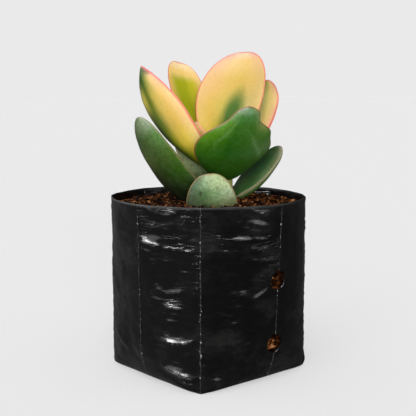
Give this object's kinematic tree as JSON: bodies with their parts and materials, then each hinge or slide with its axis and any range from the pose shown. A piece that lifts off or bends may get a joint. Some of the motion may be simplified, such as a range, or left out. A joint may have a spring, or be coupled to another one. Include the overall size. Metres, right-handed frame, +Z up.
{
  "type": "potted jade plant",
  "caption": "Young variegated jade plant with thick spoon-shaped leaves, growing in a small black film grow bag filled with coir soil.",
  "frame": {"origin": "middle of the bag's square base, on the surface that it stands on", "axes": "+Z up along the plant, -Y the side of the low front leaf, +X to the right seen from there"},
  "size_m": [0.084, 0.084, 0.1373],
  "materials": {
    "black_film": "satin",
    "soil": "matte",
    "stem": "matte",
    "root": "matte",
    "leaf_green": "satin",
    "leaf_pale": "matte",
    "leaf_variegated": "satin"
  },
  "bodies": {
    "root": {"grow_bag": "black_film", "potting_soil": "soil", "stem": "stem", "roots": "root", "leaf_low_left": "leaf_green", "leaf_low_right": "leaf_green", "leaf_front": "leaf_green", "leaf_low_back": "leaf_pale", "leaf_low_front": "leaf_pale", "bud_leaf_left": "leaf_pale", "bud_leaf_right": "leaf_pale", "leaf_upper_left": "leaf_variegated", "leaf_back_left": "leaf_variegated", "leaf_back_tall": "leaf_variegated", "leaf_back_right": "leaf_variegated"}
  },
  "joints": []
}
